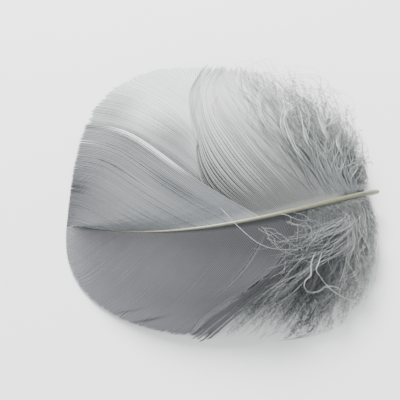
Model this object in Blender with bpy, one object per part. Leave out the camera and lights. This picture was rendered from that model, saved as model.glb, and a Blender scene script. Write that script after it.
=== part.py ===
"""Goose body feather, lying curved side up on its rim.

Frame: +Z up, X along the quill with the bare base towards +X and the tip
towards -X, the far vane towards +Y and the near vane towards -Y. The origin is
at the middle of the footprint, on the surface that the feather lies on.

A feather branches: the vanes are fans of barbs that grow out of the quill, and
each fan is a lobe that parts from its neighbours along a real parting. Every
lobe is a ruled fan between two partings. Each barb is one cubic curve from its
root on the quill to its tip on the rim.
"""
import bpy
import bmesh
import math

import numpy as np
from mathutils import Vector

MM = 0.001

# Quill: a cubic through space, from the cut base to the tip (mm).
QUILL_BASE = (42.0, 3.2, 4.5)
QUILL_ARCH_BASE = (24.0, -7.0, 17.0)
QUILL_ARCH_TIP = (0.0, -17.0, 16.5)
QUILL_TIP = (-25.0, -7.7, 6.5)
QUILL_BASE_RADIUS = 0.68
QUILL_TIP_RADIUS = 0.06
QUILL_TAPER = 0.75
QUILL_RINGS = 44
QUILL_SIDES = 12
QUILL_END_TAPER = 0.62
UMBILICUS_DEPTH = 0.9
UMBILICUS_SHARE = 0.45

# Rim: two half ovals round one centre (mm), the far one squarer and wider.
RIM_CENTRE = (4.0, -4.5)
RIM_LENGTH = 35.5
RIM_FAR_WIDTH = 42.0
RIM_NEAR_WIDTH = 26.9
RIM_FAR_SQUARENESS = 3.2
RIM_NEAR_SQUARENESS = 2.3
RIM_LIFT = 8.0
RIM_LIFT_FROM = 10.0
RIM_LIFT_SPAN = 140.0

VANE_THICKNESS = 0.45
DOWN_THICKNESS = 2.6
ROOT_GAP = 0.3
TRIM_ROOT = 0.006
TRIM_RIM = 0.6

# Partings: where the root is along the quill (0 base, 1 tip), the direction
# of the barb's end from the rim's centre (degrees from the tip, + far side),
# the headings in which the barb leaves the quill and reaches the rim
# (degrees), the handles as shares of its length, and the climbs (degrees).
PARTINGS = {
    "far_foot": (0.070, 149.0, 70.0, 80.0, 0.38, 0.38, 12.0, -32.0),
    "far_fringe": (0.155, 106.0, 50.0, 64.0, 0.38, 0.42, 14.0, -25.0),
    "crease": (0.406, 83.3, 34.0, 108.0, 0.36, 0.50, 15.0, -20.0),
    "overlap": (0.477, 40.0, 47.0, 15.0, 0.53, 0.31, 13.0, -20.0),
    "far_point": (1.0, 0.3, 4.0, 22.0, 0.55, 0.30, 12.0, -22.0),
    "near_point": (1.0, -0.3, 3.0, -18.0, 0.42, 0.40, -10.0, -45.0),
    "near_split": (0.345, -77.5, 60.0, 25.0, 0.43, 0.40, -11.0, -43.0),
    "near_fringe": (0.185, -120.0, 72.0, 48.0, 0.42, 0.40, -14.0, -41.0),
    "near_foot": (0.070, -158.0, 80.0, 75.0, 0.40, 0.40, -15.0, -40.0),
}


def remove_old_objects():
    for old in list(bpy.data.objects):
        bpy.data.objects.remove(old, do_unlink=True)


def quill_point(s):
    """Centre of the quill at share s of the curve, in mm."""
    t = np.asarray(s, float)[..., None]
    a, b, c, d = (np.array(p) for p in (QUILL_BASE, QUILL_ARCH_BASE, QUILL_ARCH_TIP, QUILL_TIP))
    return (1 - t) ** 3 * a + 3 * (1 - t) ** 2 * t * b + 3 * (1 - t) * t * t * c + t ** 3 * d


def quill_direction(s):
    """Unit tangent of the quill, towards the tip."""
    t = np.asarray(s, float)[..., None]
    a, b, c, d = (np.array(p) for p in (QUILL_BASE, QUILL_ARCH_BASE, QUILL_ARCH_TIP, QUILL_TIP))
    way = (1 - t) ** 2 * (b - a) + 2 * (1 - t) * t * (c - b) + t * t * (d - c)
    return way / np.linalg.norm(way, axis=-1, keepdims=True)


def quill_radius(s):
    """The quill thins towards the tip, and a little at its cut end."""
    s = np.asarray(s, float)
    body = (QUILL_BASE_RADIUS - QUILL_TIP_RADIUS) * (1 - s) ** QUILL_TAPER + QUILL_TIP_RADIUS
    end = QUILL_END_TAPER + (1 - QUILL_END_TAPER) * np.clip(s / 0.03, 0, 1) ** 0.5
    return body * end


def rim_point(degrees):
    """Point of the rim in a direction from its centre, in mm."""
    degrees = np.asarray(degrees, float)
    turn = np.radians(degrees)
    far = degrees >= 0
    power = np.where(far, RIM_FAR_SQUARENESS, RIM_NEAR_SQUARENESS)
    width = np.where(far, RIM_FAR_WIDTH, RIM_NEAR_WIDTH)
    across = np.abs(np.cos(turn) / RIM_LENGTH) ** power
    up = np.abs(np.sin(turn) / width) ** power
    reach = (across + up) ** (-1 / power)
    phase = np.clip((degrees - RIM_LIFT_FROM) / RIM_LIFT_SPAN, 0, 1)
    x = RIM_CENTRE[0] - reach * np.cos(turn)
    y = RIM_CENTRE[1] + reach * np.sin(turn)
    z = VANE_THICKNESS + RIM_LIFT * np.sin(np.pi * phase) ** 2
    return np.stack([x, y, z], -1)


def lobe_surface(first, last, barbs, steps):
    """Grid of points, one row for each barb, between two partings.

    The numbers of the two partings are blended evenly across the lobe, and
    each end of the lobe is drawn in a little so that neighbours stay apart.
    The steps along a barb shorten towards the rim, where it bends most.
    """
    a = np.array(PARTINGS[first])
    b = np.array(PARTINGS[last])
    side = 1.0 if (a[1] + b[1]) > 0 else -1.0
    toward_tip = 1.0 if b[0] > a[0] else -1.0
    trim = np.zeros(8)
    trim[0] = TRIM_ROOT * toward_tip
    trim[1] = TRIM_RIM * (1.0 if b[1] > a[1] else -1.0)
    a = a + trim
    b = b - trim
    if last.endswith("point"):
        b[0] = 1.0
    across = np.linspace(0, 1, barbs)[:, None]
    s, degrees, out, back, grip_out, grip_back, climb_out, climb_back = (a + (b - a) * across).T
    root = quill_point(s)
    along = quill_direction(s)[:, :2]
    along = along / np.linalg.norm(along, axis=1, keepdims=True)
    sideways = np.stack([along[:, 1], -along[:, 0]], -1) * side
    root[:, :2] += sideways * (quill_radius(s) + ROOT_GAP)[:, None]
    end = rim_point(degrees)
    length = np.linalg.norm((end - root)[:, :2], axis=1)
    out = np.radians(out)[:, None]
    back = np.radians(back)
    leave = along * np.cos(out) + sideways * np.sin(out)
    arrive = np.stack([-np.cos(back), side * np.sin(back)], -1)
    reach_out = length * grip_out
    reach_back = length * grip_back
    rise_out = reach_out * np.tan(np.radians(climb_out))
    rise_back = reach_back * np.tan(np.radians(climb_back))
    handle_out = root + np.c_[leave * reach_out[:, None], rise_out]
    handle_back = end - np.c_[arrive * reach_back[:, None], rise_back]
    u = np.sin(np.linspace(0, np.pi / 2, steps))[None, :, None]
    curve = (1 - u) ** 3 * root[:, None] + 3 * (1 - u) ** 2 * u * handle_out[:, None]
    curve = curve + 3 * (1 - u) * u * u * handle_back[:, None] + u ** 3 * end[:, None]
    return curve


def make_object(name, bm, colour, roughness, parent):
    bmesh.ops.recalc_face_normals(bm, faces=bm.faces)
    mesh = bpy.data.meshes.new(name)
    bm.to_mesh(mesh)
    bm.free()
    mesh.shade_smooth()
    mesh.set_sharp_from_angle(angle=math.radians(40))
    material = bpy.data.materials.new(name + "_finish")
    material.use_nodes = True
    shader = material.node_tree.nodes["Principled BSDF"]
    shader.inputs["Base Color"].default_value = (*colour, 1.0)
    shader.inputs["Roughness"].default_value = roughness
    shader.inputs["Metallic"].default_value = 0.0
    mesh.materials.append(material)
    piece = bpy.data.objects.new(name, mesh)
    piece.parent = parent
    bpy.context.scene.collection.objects.link(piece)
    return piece


def bridge(bm, low, high):
    """Quads between two closed rings of vertices."""
    count = len(low)
    for i in range(count):
        j = (i + 1) % count
        bm.faces.new((low[i], low[j], high[j], high[i]))


def make_quill(parent):
    """Round tapered shaft with the small hollow at the foot of the base."""
    bm = bmesh.new()
    shares = 1 - (1 - np.linspace(0, 1, QUILL_RINGS)) ** 1.15
    shares[1:4] = (0.006, 0.015, 0.03)
    centres = quill_point(shares)
    ways = quill_direction(shares)
    radii = quill_radius(shares)
    turns = np.linspace(0, 2 * np.pi, QUILL_SIDES, endpoint=False)

    def ring(centre, way, radius):
        side = Vector(way).cross(Vector((0, 0, 1))).normalized()
        top = side.cross(Vector(way)).normalized()
        corners = []
        for turn in turns:
            spot = Vector(centre) + side * (radius * math.cos(turn)) + top * (radius * math.sin(turn))
            corners.append(bm.verts.new(spot * MM))
        return corners

    rings = [ring(c, w, r) for c, w, r in zip(centres, ways, radii)]
    for low, high in zip(rings, rings[1:]):
        bridge(bm, low, high)
    bm.faces.new(rings[-1])
    mouth = ring(centres[0], ways[0], radii[0] * UMBILICUS_SHARE)
    floor = ring(centres[0] + ways[0] * UMBILICUS_DEPTH, ways[0], radii[0] * UMBILICUS_SHARE * 0.7)
    bridge(bm, mouth, rings[0])
    bridge(bm, floor, mouth)
    bm.faces.new(floor)
    return make_object("quill", bm, (0.52, 0.53, 0.42), 0.4, parent)


def make_lobe(name, first, last, barbs, steps, thickness, colour, parent):
    """Closed skin: the fan of barbs on top, the same fan lowered beneath.

    The underside stops at the surface that the feather lies on, so a thick
    lobe rests there on a flat strip along its rim.
    """
    top = lobe_surface(first, last, barbs, steps)
    under = top.copy()
    under[..., 2] = np.maximum(top[..., 2] - thickness, 0.0)
    bm = bmesh.new()
    upper = [[bm.verts.new(Vector(p) * MM) for p in row] for row in top]
    lower = [[bm.verts.new(Vector(p) * MM) for p in row] for row in under]
    for i in range(barbs - 1):
        for j in range(steps - 1):
            bm.faces.new((upper[i][j], upper[i + 1][j], upper[i + 1][j + 1], upper[i][j + 1]))
            bm.faces.new((lower[i][j], lower[i][j + 1], lower[i + 1][j + 1], lower[i + 1][j]))
    edge = [(i, 0) for i in range(barbs)]
    edge += [(barbs - 1, j) for j in range(1, steps)]
    edge += [(i, steps - 1) for i in range(barbs - 2, -1, -1)]
    edge += [(0, j) for j in range(steps - 2, 0, -1)]
    bridge(bm, [upper[i][j] for i, j in edge], [lower[i][j] for i, j in edge])
    return make_object(name, bm, colour, 0.75, parent)


def rest_on_origin(parent):
    """Bring the middle of the footprint to the origin, lowest point at z = 0."""
    corners = np.array([v.co[:] for piece in parent.children for v in piece.data.vertices])
    low = corners.min(axis=0)
    high = corners.max(axis=0)
    parent.location = (-(low[0] + high[0]) / 2, -(low[1] + high[1]) / 2, -low[2])


def main():
    remove_old_objects()
    feather = bpy.data.objects.new("feather", None)
    bpy.context.scene.collection.objects.link(feather)
    make_quill(feather)
    vane = VANE_THICKNESS
    down = DOWN_THICKNESS
    make_lobe("far_vane_tip", "overlap", "far_point", 20, 13, vane, (0.33, 0.34, 0.36), feather)
    make_lobe("far_vane_middle", "crease", "overlap", 17, 15, vane, (0.47, 0.49, 0.49), feather)
    make_lobe("far_vane_base", "far_fringe", "crease", 17, 15, vane, (0.52, 0.55, 0.54), feather)
    make_lobe("far_down", "far_foot", "far_fringe", 12, 14, down, (0.40, 0.43, 0.42), feather)
    make_lobe("near_vane", "near_split", "near_point", 24, 13, vane, (0.26, 0.26, 0.28), feather)
    make_lobe("near_loose_barbs", "near_fringe", "near_split", 12, 14, vane, (0.27, 0.28, 0.29), feather)
    make_lobe("near_down", "near_foot", "near_fringe", 12, 14, down, (0.29, 0.31, 0.30), feather)
    rest_on_origin(feather)
    bpy.context.view_layer.update()


main()
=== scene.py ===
"""Goose body feather, lying curved side up: the quill, the parted webs, the loose strands and the down.

Lengths in the tables are millimetres. A web is a fan of barbs, each a curve from
its root on the quill to its tip on the rim. In most webs the curve is one cubic
whose numbers are blended between the two partings that bound the web. In the
two far webs whose barbs bend twice it is blended between guide barbs.
"""
import math

import bpy
import numpy as np
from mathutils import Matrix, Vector


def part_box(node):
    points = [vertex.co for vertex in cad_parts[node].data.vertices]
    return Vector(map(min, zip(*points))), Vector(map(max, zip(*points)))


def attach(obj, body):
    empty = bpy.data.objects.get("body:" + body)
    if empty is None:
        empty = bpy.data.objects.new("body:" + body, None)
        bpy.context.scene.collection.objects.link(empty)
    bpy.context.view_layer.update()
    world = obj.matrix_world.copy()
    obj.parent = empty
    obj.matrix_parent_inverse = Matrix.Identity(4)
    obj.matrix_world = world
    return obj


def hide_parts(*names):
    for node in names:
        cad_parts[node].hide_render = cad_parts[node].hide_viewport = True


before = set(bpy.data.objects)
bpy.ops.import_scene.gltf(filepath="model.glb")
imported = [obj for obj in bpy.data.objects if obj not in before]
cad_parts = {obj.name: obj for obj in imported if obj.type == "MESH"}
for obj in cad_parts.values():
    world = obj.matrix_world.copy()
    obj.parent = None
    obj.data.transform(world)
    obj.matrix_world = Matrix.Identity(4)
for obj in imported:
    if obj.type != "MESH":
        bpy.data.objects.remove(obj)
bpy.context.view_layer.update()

MM = 0.001

# ---- measures of the feather, in millimetres and degrees ----
QUILL_CURVE = ((42.0, 3.2, 4.5), (24.0, -7.0, 17.0), (0.0, -17.0, 16.5), (-25.0, -7.7, 6.5))
QUILL_BASE_RADIUS = 0.68
QUILL_TIP_RADIUS = 0.06
QUILL_TAPER = 0.9
QUILL_END_TAPER = 0.62
RIM_CENTRE = (4.0, -4.5)
RIM_LENGTH = 35.5
RIM_FAR_WIDTH = 42.0
RIM_NEAR_WIDTH = 26.9
RIM_FAR_SQUARENESS = 3.2
RIM_NEAR_SQUARENESS = 2.3
RIM_HEIGHT = 0.45
RIM_LIFT = 8.0
RIM_LIFT_FROM = 10.0
RIM_LIFT_SPAN = 140.0
STRAY_MARGIN = 0.045
STRAY_SQUARENESS = 0.9

# Where two webs part: root share, rim direction, headings out and in, two handle shares, two climbs
PARTINGS = {
    "far_foot": (0.070, 149.0, 70.0, 80.0, 0.38, 0.38, 12.0, -32.0),
    "far_fringe": (0.155, 106.0, 50.0, 64.0, 0.38, 0.42, 14.0, -25.0),
    "overlap": (0.474, 39.8, 39.0, 17.3, 0.56, 0.34, 13.0, -20.0),
    "far_point": (1.0, 0.3, 4.0, 22.0, 0.55, 0.30, 2.0, -26.0),
    "near_point": (1.0, -0.3, 3.0, -18.0, 0.42, 0.40, -10.0, -45.0),
    "near_split": (0.345, -77.5, 60.0, 25.0, 0.43, 0.40, -11.0, -43.0),
    "near_fringe": (0.185, -120.0, 72.0, 48.0, 0.42, 0.40, -14.0, -41.0),
    "near_foot": (0.070, -158.0, 80.0, 75.0, 0.40, 0.40, -15.0, -40.0),
}
LOBES = {
    "far_tip": ("overlap", "far_point"),
    "far_down": ("far_foot", "far_fringe"),
    "near": ("near_split", "near_point"),
    "near_loose": ("near_fringe", "near_split"),
    "near_down": ("near_foot", "near_fringe"),
}
# Webs whose barbs bend twice: share across, root share, rim direction, points between root and rim
GUIDES = {
    "far_base": (
        (0.00, 0.150, 106.5,
         (31.8, 3.2, 9.5), (29.9, 7.7, 9.8), (27.5, 11.8, 10.5), (24.8, 15.7, 11.1),
         (22.2, 19.8, 11.3), (20.0, 24.1, 10.9), (18.2, 28.4, 9.8), (16.9, 32.8, 8.1)),
        (0.25, 0.219, 99.5,
         (26.8, 1.2, 11.4), (24.1, 5.6, 12.0), (20.9, 9.7, 12.8), (18.0, 14.0, 13.1),
         (15.4, 18.5, 12.9), (13.2, 23.1, 12.1), (11.3, 27.8, 10.9), (10.7, 32.7, 9.1)),
        (0.50, 0.299, 93.6,
         (21.0, -1.0, 13.2), (17.5, 3.2, 14.0), (14.0, 7.5, 14.5), (11.1, 12.3, 14.5),
         (8.5, 17.2, 13.9), (6.2, 22.2, 13.0), (4.6, 27.3, 11.6), (5.2, 32.5, 9.7)),
        (0.66, 0.363, 91.5,
         (16.3, -2.8, 14.3), (12.5, 1.4, 15.1), (9.1, 6.0, 15.4), (6.3, 11.0, 15.2),
         (3.8, 16.2, 14.5), (2.5, 21.6, 13.3), (2.0, 27.1, 11.8), (3.2, 32.5, 10.0)),
        (0.78, 0.412, 89.8,
         (12.5, -4.4, 14.8), (8.4, -0.3, 15.7), (5.1, 4.6, 15.9), (2.5, 9.9, 15.6),
         (0.8, 15.5, 14.8), (0.0, 21.2, 13.5), (0.5, 26.9, 11.9), (1.8, 32.3, 10.1)),
        (0.87, 0.450, 88.4,
         (9.7, -5.3, 15.0), (5.4, -1.3, 16.0), (2.2, 3.7, 16.3), (0.4, 9.4, 15.8),
         (-0.6, 15.2, 14.9), (-1.0, 21.0, 13.6), (-0.7, 26.8, 12.0), (0.8, 32.2, 10.2)),
        (0.94, 0.481, 87.2,
         (7.6, -5.9, 15.0), (3.2, -1.9, 15.8), (0.5, 3.4, 16.4), (-0.5, 9.3, 15.9),
         (-1.2, 15.1, 14.9), (-1.7, 21.0, 13.7), (-1.7, 26.7, 12.0), (-0.2, 32.2, 10.2)),
        (1.00, 0.504, 86.0,
         (5.8, -6.4, 14.9), (1.1, -2.7, 15.6), (-0.7, 2.9, 16.2), (-0.9, 9.0, 16.0),
         (-1.9, 14.9, 15.0), (-2.6, 20.8, 13.7), (-2.5, 26.6, 12.1), (-0.8, 32.1, 10.3)),
    ),
    "far_middle": (
        (0.00, 0.384, 85.6,
         (14.7, -3.6, 14.5), (10.7, 0.6, 15.4), (7.1, 5.0, 15.7), (4.3, 10.1, 15.5),
         (2.3, 15.5, 14.7), (1.1, 21.0, 13.5), (0.1, 26.6, 12.1), (0.2, 32.1, 10.2)),
        (0.20, 0.412, 72.6,
         (12.5, -4.2, 14.9), (8.2, -0.0, 15.7), (4.5, 4.7, 16.0), (1.9, 10.2, 15.6),
         (0.1, 15.9, 14.8), (-1.2, 21.6, 13.5), (-3.0, 27.2, 12.0), (-5.9, 32.2, 10.2)),
        (0.40, 0.436, 63.4,
         (10.6, -4.7, 15.1), (6.1, -0.4, 16.0), (2.4, 4.6, 16.2), (0.1, 10.5, 15.7),
         (-1.6, 16.4, 14.7), (-4.0, 22.0, 13.4), (-8.0, 26.6, 11.8), (-12.0, 30.9, 9.6)),
        (0.55, 0.457, 54.7,
         (9.1, -5.1, 15.1), (4.4, -0.8, 16.1), (1.2, 4.6, 16.3), (-0.8, 10.6, 15.7),
         (-4.4, 15.8, 14.9), (-8.5, 20.5, 13.3), (-12.6, 24.8, 11.1), (-16.9, 28.8, 8.6)),
        (0.70, 0.474, 48.5,
         (7.8, -5.6, 15.0), (3.1, -1.4, 15.9), (0.0, 4.0, 16.4), (-3.1, 9.3, 16.0),
         (-7.4, 13.7, 14.7), (-11.5, 18.1, 12.6), (-15.7, 22.1, 10.1), (-20.2, 25.7, 7.5)),
        (0.85, 0.491, 43.9,
         (6.6, -6.1, 14.9), (2.1, -2.1, 15.7), (-0.9, 3.3, 16.3), (-5.1, 7.7, 15.6),
         (-9.4, 11.7, 13.9), (-13.5, 15.7, 11.7), (-17.6, 19.6, 9.2), (-22.1, 23.0, 6.6)),
        (1.00, 0.504, 40.0,
         (5.9, -6.4, 14.9), (1.2, -2.8, 15.6), (-2.9, 1.6, 15.6), (-7.1, 5.8, 14.9),
         (-10.9, 10.1, 13.3), (-14.7, 14.2, 11.1), (-18.8, 17.6, 8.5), (-23.4, 20.4, 5.9)),
    ),
}
FLOOR_CLEARANCE = 0.05
ROOT_SINK = -0.12
STRAND_CLEARANCE = 0.12
ALMOST_UP = (0.11, 0.07, 1.0)
BARB_CROWDING = 0.92
BARB_END_TAPER = 0.02
NORMAL_STEP = 0.012


# ---- small helpers on arrays ----
def unit(v):
    return v / np.maximum(np.linalg.norm(v, axis=-1, keepdims=True), 1e-12)


def ease(x, low, high):
    """Rises smoothly from 0 at low to 1 at high."""
    t = np.clip((x - low) / (high - low), 0, 1)
    return t * t * (3 - 2 * t)


def hump(x, centre, width):
    """A rounded hump of height 1 at the centre."""
    return np.exp(-((x - centre) / width) ** 2)


def cubic(points, t):
    a, b, c, d = points
    t = t[..., None]
    return (1 - t) ** 3 * a + 3 * (1 - t) ** 2 * t * b + 3 * (1 - t) * t * t * c + t ** 3 * d


def wander(rng, count, u, waves, power=1.0):
    """Smooth random sway for each path: sines of rising frequency, growing with u."""
    total = np.zeros((count, u.shape[-1], 3))
    for wave in range(1, waves + 1):
        phase = rng.uniform(0, 2 * np.pi, (count, 1, 3))
        size = rng.normal(0, 1, (count, 1, 3)) / wave ** 1.1
        total += size * np.sin(2 * np.pi * wave * 0.55 * u[..., None] + phase)
    return (total - total[:, :1]) * (u[..., None] ** power)


# ---- the feather's own form ----
def quill_point(s):
    """Centre of the quill at share s from the cut base to the tip: one cubic in space."""
    return cubic([np.array(p) for p in QUILL_CURVE], np.asarray(s, float))


def quill_direction(s):
    """Unit tangent of the quill's cubic."""
    a, b, c, d = (np.array(p) for p in QUILL_CURVE)
    t = np.asarray(s, float)[..., None]
    return unit((1 - t) ** 2 * (b - a) + 2 * (1 - t) * t * (c - b) + t * t * (d - c))


def quill_radius(s):
    """Radius falls as a power of the distance to the tip, and eases in at the cut end."""
    s = np.asarray(s, float)
    body = (QUILL_BASE_RADIUS - QUILL_TIP_RADIUS) * (1 - s) ** QUILL_TAPER + QUILL_TIP_RADIUS
    return body * (QUILL_END_TAPER + (1 - QUILL_END_TAPER) * np.clip(s / 0.03, 0, 1) ** 0.5)


def rim_reach(turn, squarer=0.0):
    """Distance from the rim's centre to the rim: (|cos / length|^n + |sin / width|^n)^(-1/n)."""
    far = np.sin(turn) >= 0
    power = np.where(far, RIM_FAR_SQUARENESS, RIM_NEAR_SQUARENESS) + squarer
    width = np.where(far, RIM_FAR_WIDTH, RIM_NEAR_WIDTH)
    reach = np.abs(np.cos(turn) / RIM_LENGTH) ** power + np.abs(np.sin(turn) / width) ** power
    return reach ** (-1 / power)


def held_in(points):
    """Points drawn in towards the rim: a share r > 1 of the reach becomes 1 + m * tanh((r - 1) / m)."""
    away = points[..., :2] - np.array(RIM_CENTRE)
    turn = np.arctan2(away[..., 1], -away[..., 0])
    share = np.linalg.norm(away, axis=-1) / rim_reach(turn, STRAY_SQUARENESS)
    over = np.maximum(share - 1, 0)
    scale = (share - over + STRAY_MARGIN * np.tanh(over / STRAY_MARGIN)) / share
    return np.concatenate([np.array(RIM_CENTRE) + away * scale[..., None], points[..., 2:]], -1)


def rim_point(degrees):
    """Two half superellipses round one centre, the far one lifted as a squared sine."""
    turn = np.radians(degrees)
    reach = rim_reach(turn)
    phase = np.clip((degrees - RIM_LIFT_FROM) / RIM_LIFT_SPAN, 0, 1)
    x = RIM_CENTRE[0] - reach * np.cos(turn)
    y = RIM_CENTRE[1] + reach * np.sin(turn)
    return np.stack([x, y, RIM_HEIGHT + RIM_LIFT * np.sin(np.pi * phase) ** 2], -1)


def knot_weights(knots, x):
    """Weights of a smooth curve through evenly or unevenly spaced knots, at each x.

    Between two knots it is the cubic 2t^3 - 3t^2 + 1, t^3 - 2t^2 + t, and so
    on, with slopes taken from the neighbouring knots; outside them it goes on
    straight.
    """
    knots = np.asarray(knots, float)
    slope = np.gradient(np.eye(len(knots)), knots, axis=0)
    inside = np.clip(x, knots[0], knots[-1])
    low = np.clip(np.searchsorted(knots, inside, side="right") - 1, 0, len(knots) - 2)
    gap = (knots[low + 1] - knots[low])[..., None]
    t = ((inside - knots[low]))[..., None] / gap
    each = np.eye(len(knots))
    value = (2 * t ** 3 - 3 * t ** 2 + 1) * each[low] + (3 * t ** 2 - 2 * t ** 3) * each[low + 1]
    value = value + ((t ** 3 - 2 * t ** 2 + t) * slope[low] + (t ** 3 - t ** 2) * slope[low + 1]) * gap
    edge = np.where((x < knots[0])[..., None], slope[0], slope[-1])
    return value + edge * (x - inside)[..., None]


def guided_point(lobe, f, u, root_gap):
    """Point of a guided web: a weighted sum of the guides' roots, points and ends.

    The weights are those of a smooth curve through the guides across the web,
    times those of a smooth curve through the points along a barb.
    """
    rows = GUIDES[lobe]
    across = knot_weights([row[0] for row in rows], f)
    s = across @ np.array([row[1] for row in rows])
    end = rim_point(across @ np.array([row[2] for row in rows]))
    root = quill_point(s)
    along = unit(quill_direction(s)[..., :2])
    root[..., :2] += np.stack([along[..., 1], -along[..., 0]], -1) * (quill_radius(s) + root_gap)[..., None]
    inner = np.array([row[3:] for row in rows])
    weights = knot_weights(np.linspace(0, 1, inner.shape[1] + 2), u)
    point = root * weights[..., :1] + end * weights[..., -1:]
    return point + np.einsum("...i,...j,ijk->...k", across, weights[..., 1:-1], inner, optimize=True)


def lobe_point(lobe, f, u, root_gap=ROOT_SINK):
    """Point of a web: share f across it and share u along the barb.

    Each number of the barb is a + (b - a) * f between the two partings, and the
    barb is one cubic through them. A guided web is blended between its guides.
    """
    f, u = np.broadcast_arrays(np.asarray(f, float), np.asarray(u, float))
    if lobe in GUIDES:
        return guided_point(lobe, f, u, root_gap)
    a, b = (np.array(PARTINGS[name]) for name in LOBES[lobe])
    side = 1.0 if a[1] + b[1] > 0 else -1.0
    shape = a + (b - a) * f[..., None]
    s = np.clip(shape[..., 0], 0, 1)
    out = np.radians(shape[..., 2])[..., None]
    back = np.radians(shape[..., 3])
    root = quill_point(s)
    along = unit(quill_direction(s)[..., :2])
    sideways = np.stack([along[..., 1], -along[..., 0]], -1) * side
    root[..., :2] += sideways * (quill_radius(s) + root_gap)[..., None]
    end = rim_point(shape[..., 1])
    length = np.linalg.norm((end - root)[..., :2], axis=-1)
    leave = along * np.cos(out) + sideways * np.sin(out)
    arrive = np.stack([-np.cos(back), side * np.sin(back)], -1)
    reach_out = length * shape[..., 4]
    reach_back = length * shape[..., 5]
    rise_out = reach_out * np.tan(np.radians(shape[..., 6]))
    rise_back = reach_back * np.tan(np.radians(shape[..., 7]))
    grip_out = root + np.concatenate([leave * reach_out[..., None], rise_out[..., None]], -1)
    grip_back = end - np.concatenate([arrive * reach_back[..., None], rise_back[..., None]], -1)
    return cubic((root, grip_out, grip_back, end), u)


# ---- meshes from arrays ----
def tube_frames(paths):
    """Unit directions ahead, sideways and upward along each path."""
    ahead = unit(np.gradient(paths, axis=-2))
    side = unit(np.cross(ahead, np.array(ALMOST_UP)))
    return ahead, side, np.cross(side, ahead)


def signed_volume(points, faces):
    """Sum of the tetrahedra from the origin to the first three corners of each face."""
    total = 0.0
    for block in faces:
        for k in range(1, block.shape[1] - 1):
            a, b, c = (points[block[:, i]] for i in (0, k, k + 1))
            total += np.einsum("ij,ij->i", a, np.cross(b, c)).sum()
    return total


def grown(name, points, faces, finish, marks=None):
    """A mesh object at the origin from points in mm and blocks of faces, turned to face outward."""
    points = points.reshape(-1, 3) + PLACE
    points[:, 2] = np.maximum(points[:, 2], FLOOR_CLEARANCE)
    if signed_volume(points - points.mean(0), faces) < 0:
        faces = [block[:, ::-1] for block in faces]
    mesh = bpy.data.meshes.new(name)
    corners = [corner for block in faces for corner in block.tolist()]
    mesh.from_pydata((points * MM).tolist(), [], corners)
    for mark, values in (marks or {}).items():
        layer = mesh.attributes.new(mark, "FLOAT", "POINT")
        layer.data.foreach_set("value", np.ascontiguousarray(values.reshape(-1), np.float32))
    mesh.shade_smooth()
    mesh.materials.append(finish)
    mesh.update()
    piece = bpy.data.objects.new(name, mesh)
    bpy.context.scene.collection.objects.link(piece)
    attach(piece, "root")
    return piece


def strip_faces(count, steps, ring):
    """Quads of count closed strips, each of steps rings of corners, with both ends capped.

    The caps pair the ring's corners from both sides, so ring is even.
    """
    barb, step, corner = np.meshgrid(np.arange(count), np.arange(steps - 1), np.arange(ring), indexing="ij")
    base = (barb * steps + step) * ring
    following = (corner + 1) % ring
    sides = np.stack([base + corner, base + following, base + ring + following, base + ring + corner], -1)
    half = np.arange(ring // 2 - 1)
    cap = np.stack([half, half + 1, ring - 2 - half, ring - 1 - half], -1)
    first = np.arange(count)[:, None, None] * steps * ring + cap[None]
    last = first[..., ::-1] + (steps - 1) * ring
    return [np.concatenate([sides.reshape(-1, 4), first.reshape(-1, 4), last.reshape(-1, 4)])]


# profile of one barb: share across, height in mm. A low ridge with a wing on each side.
BARB_ACROSS = np.array((-1.0, -0.42, 0.0, 0.42, 1.0, 0.0))
BARB_RIDGE = np.array((0.0, 0.35, 1.0, 0.30, -0.25, -0.8))
BARB_THICKNESS = np.array((0.02, 0.025, 0.03, 0.025, 0.0, -0.04))


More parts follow.
